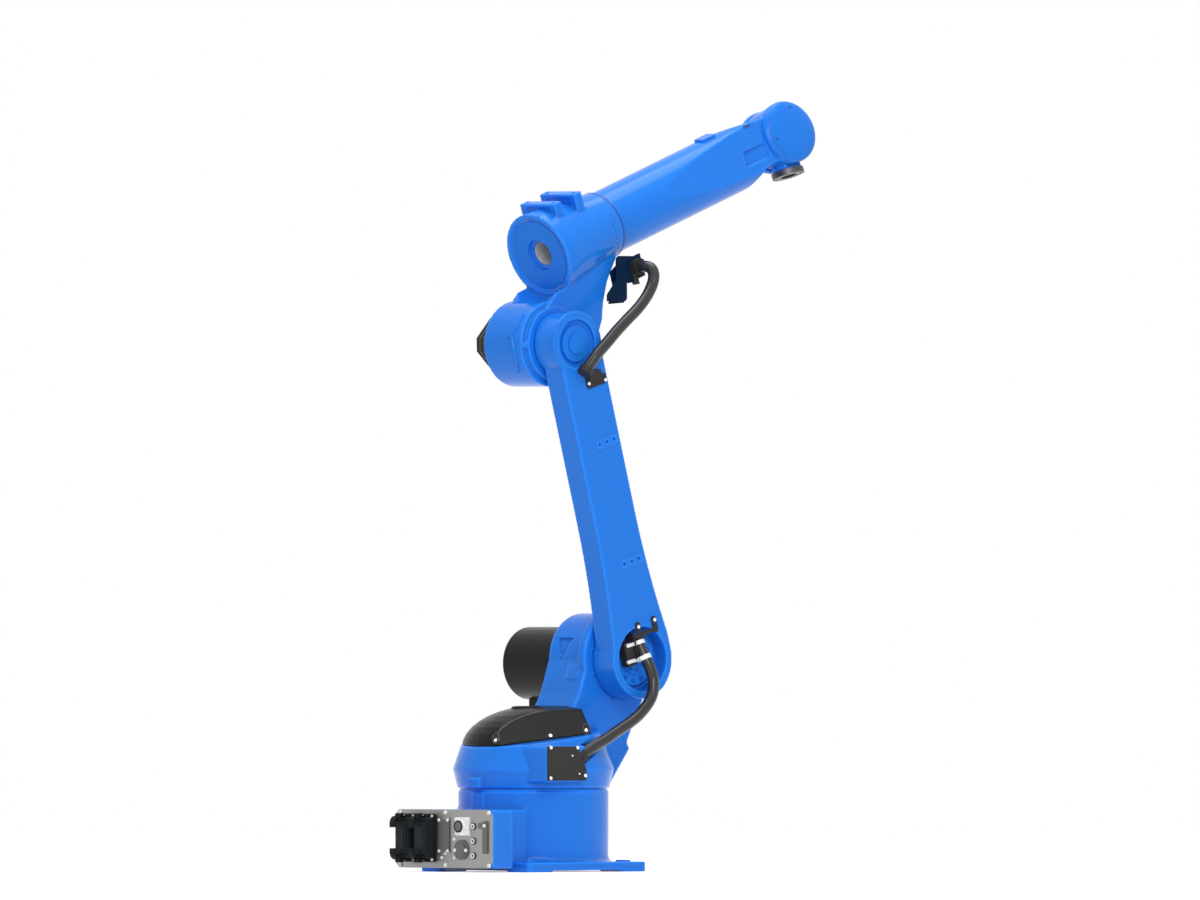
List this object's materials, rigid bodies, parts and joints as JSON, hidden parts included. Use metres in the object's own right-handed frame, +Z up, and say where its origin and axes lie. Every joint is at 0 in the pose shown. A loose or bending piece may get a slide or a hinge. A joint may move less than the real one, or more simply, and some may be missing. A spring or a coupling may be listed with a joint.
{
  "type": "industrial robot arm",
  "caption": "Six-axis floor-mounted industrial robot arm: pedestal with connector panel, turning turret, lower arm, elbow with hollow barrel, slim forearm, bending wrist and tool flange.",
  "frame": {"origin": "on the floor under the first axis, midway between the four anchor holes", "axes": "+X forward over the front of the pedestal, away from the connector panel, +Y to the robot's left, +Z up"},
  "size_m": [1.2244, 0.456, 1.85],
  "materials": {
    "blue_paint": "satin enamel",
    "black_cover": "satin black",
    "dark_steel": "machined, oiled",
    "bright_steel": "plated",
    "panel_aluminium": "sheet, brushed",
    "hose_rubber": "smooth jacket"
  },
  "bodies": {
    "base": {"base_casting": "blue_paint", "turntable_ring": "dark_steel", "connector_panel": "panel_aluminium", "power_connectors": "black_cover", "connector_levers": "bright_steel", "round_connector": "black_cover", "window_cover": "black_cover", "strip_cover": "black_cover", "blank_disc": "panel_aluminium", "air_fittings": "bright_steel"},
    "turret": {"turret_casting": "blue_paint", "rear_hood": "black_cover", "cable_box_cover": "black_cover", "lower_hose_gland": "black_cover", "shoulder_motor_cover": "black_cover", "shoulder_motor_plug": "black_cover", "shoulder_reducer": "dark_steel", "lower_hose": "hose_rubber"},
    "lower_arm": {"lower_arm_casting": "blue_paint", "shoulder_hub": "blue_paint", "elbow_hub": "blue_paint", "lower_hose_bracket": "black_cover", "upper_hose_bracket": "black_cover"},
    "elbow": {"elbow_casting": "blue_paint", "barrel_rear_cover": "blue_paint", "cable_bore_liner": "panel_aluminium", "elbow_motor": "black_cover", "elbow_reducer": "dark_steel", "elbow_hose_bracket": "black_cover", "upper_hose_gland": "black_cover", "upper_hose": "hose_rubber", "forearm_reducer": "dark_steel"},
    "forearm": {"forearm_casting": "blue_paint", "right_wrist_cap": "blue_paint", "left_wrist_cap": "blue_paint"},
    "wrist": {"wrist_housing": "blue_paint"},
    "flange": {"tool_flange": "dark_steel"}
  },
  "joints": [
    {"name": "turret_turn", "type": "hinge", "parent": "base", "child": "turret", "pos_m": [0, 0, 0.195], "axis": [0, 0, 1], "range_deg": [-170, 170]},
    {"name": "shoulder_swing", "type": "hinge", "parent": "turret", "child": "lower_arm", "pos_m": [0.22, 0, 0.509], "axis": [0, 1, 0], "range_deg": [-44, 105], "deforming": ["lower_hose"]},
    {"name": "elbow_lift", "type": "hinge", "parent": "lower_arm", "child": "elbow", "pos_m": [0.0056, 0, 1.26415], "axis": [0, -1, 0], "range_deg": [-80, 85], "deforming": ["upper_hose"]},
    {"name": "forearm_roll", "type": "hinge", "parent": "elbow", "child": "forearm", "pos_m": [-0.06107, 0, 1.44634], "axis": [0.9391, 0, 0.3437], "range_deg": [-180, 180]},
    {"name": "wrist_bend", "type": "hinge", "parent": "forearm", "child": "wrist", "pos_m": [0.80196, 0, 1.76216], "axis": [0.1062, 0.9511, -0.2902], "range_deg": [-218, 12]},
    {"name": "flange_turn", "type": "hinge", "parent": "wrist", "child": "flange", "pos_m": [0.80196, 0, 1.76216], "axis": [0.1072, -0.3011, -0.9475], "range_deg": [-360, 360]}
  ]
}
